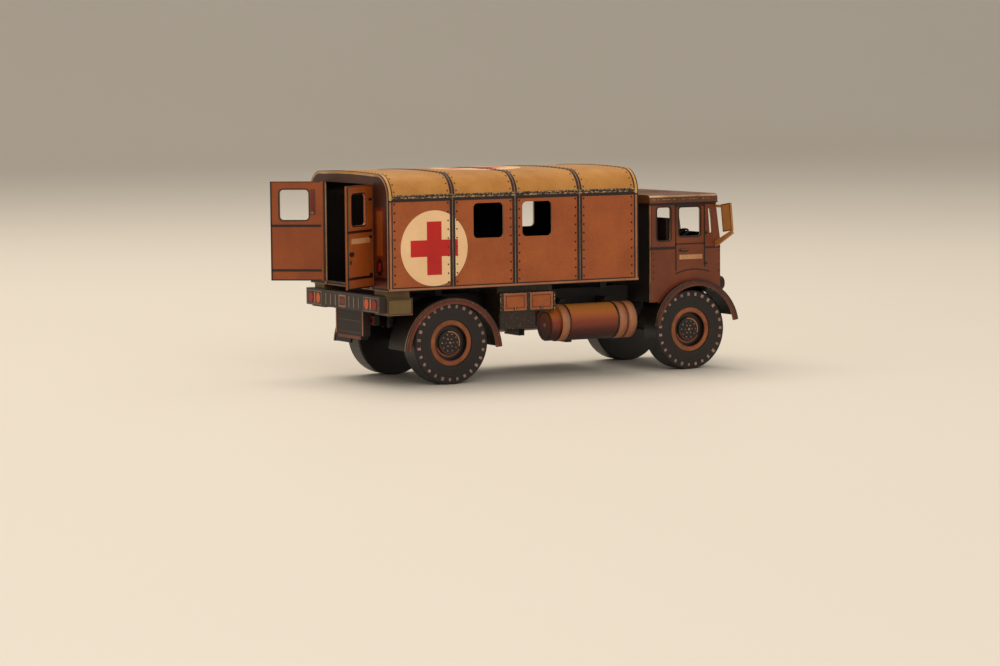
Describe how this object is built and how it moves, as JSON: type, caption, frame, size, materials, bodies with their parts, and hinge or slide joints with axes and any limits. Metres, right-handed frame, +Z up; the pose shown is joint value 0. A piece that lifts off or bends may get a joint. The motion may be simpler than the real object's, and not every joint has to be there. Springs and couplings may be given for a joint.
{
  "type": "card model of a military ambulance truck",
  "caption": "Small printed-card model of a forward-control military ambulance truck, with turning wheels and hinged rear doors that stand open.",
  "frame": {"origin": "on the ground, in the middle of the model's overall length and width with its rear doors open as at rest", "axes": "+X towards the front of the truck, +Y towards its left side, +Z up"},
  "size_m": [0.0864, 0.0418, 0.0402],
  "materials": {
    "side_card": "printed brown card, matt, fine grain, worn pale along its folds",
    "door_card": "printed brown card with dark panel lines",
    "end_card": "printed dark brown card",
    "roof_card": "printed golden tan card, matt",
    "tank_card": "rolled printed brown card with pale bands",
    "chassis_card": "printed near-black brown card",
    "tyre_card": "printed black card with a ring of pale dashes",
    "wheel_card": "printed brown card, dished",
    "lamp_card": "printed pale card",
    "mirror_card": "printed tan card"
  },
  "bodies": {
    "truck": {"frame_rails": "chassis_card", "cross_members": "chassis_card", "body_bearers": "chassis_card", "front_axle": "chassis_card", "rear_axle": "chassis_card", "leaf_springs": "chassis_card", "body_floor": "end_card", "body_side_right": "side_card", "body_side_left": "side_card", "body_front_wall": "end_card", "body_rear_wall": "end_card", "body_roof": "roof_card", "lamp_beam": "side_card", "step_box": "chassis_card", "tow_brackets": "chassis_card", "corner_locker_right": "side_card", "corner_locker_left": "side_card", "side_locker_right": "side_card", "side_locker_left": "side_card", "fuel_tank_right": "tank_card", "fuel_tank_left": "tank_card", "tank_cradles": "chassis_card", "rear_mudguard_right": "end_card", "rear_mudguard_left": "end_card", "front_mudguard_right": "end_card", "front_mudguard_left": "end_card", "cab_floor": "chassis_card", "cab_rear_wall": "chassis_card", "cab_side_right": "side_card", "cab_side_left": "side_card", "cab_front": "side_card", "cab_roof": "roof_card", "cab_seats": "chassis_card", "steering_wheel": "chassis_card", "radiator_grille": "side_card", "headlamps": "lamp_card", "front_bumper": "chassis_card", "mirror_right": "mirror_card", "mirror_left": "mirror_card"},
    "rear_right_wheel": {"tyre_rear_right": "tyre_card", "wheel_rear_right": "wheel_card"},
    "rear_left_wheel": {"tyre_rear_left": "tyre_card", "wheel_rear_left": "wheel_card"},
    "front_right_wheel": {"tyre_front_right": "tyre_card", "wheel_front_right": "wheel_card"},
    "front_left_wheel": {"tyre_front_left": "tyre_card", "wheel_front_left": "wheel_card"},
    "right_rear_door": {"rear_door_right": "door_card"},
    "left_rear_door": {"rear_door_left": "door_card"}
  },
  "joints": [
    {"name": "rear_right_wheel_spin", "type": "hinge", "parent": "truck", "child": "rear_right_wheel", "pos_m": [-0.02011, 0, 0.00787], "axis": [0, 1, 0], "continuous": true},
    {"name": "rear_left_wheel_spin", "type": "hinge", "parent": "truck", "child": "rear_left_wheel", "pos_m": [-0.02011, 0, 0.00787], "axis": [0, 1, 0], "continuous": true},
    {"name": "front_right_wheel_spin", "type": "hinge", "parent": "truck", "child": "front_right_wheel", "pos_m": [0.03329, 0, 0.00787], "axis": [0, 1, 0], "continuous": true},
    {"name": "front_left_wheel_spin", "type": "hinge", "parent": "truck", "child": "front_left_wheel", "pos_m": [0.03329, 0, 0.00787], "axis": [0, 1, 0], "continuous": true},
    {"name": "right_rear_door_hinge", "type": "hinge", "parent": "truck", "child": "right_rear_door", "pos_m": [-0.03482, -0.01033, 0.01894], "axis": [0, 0, 1], "range_deg": [-126, 24]},
    {"name": "left_rear_door_hinge", "type": "hinge", "parent": "truck", "child": "left_rear_door", "pos_m": [-0.03482, 0.01033, 0.01894], "axis": [0, 0, -1], "range_deg": [-128, 22]}
  ]
}
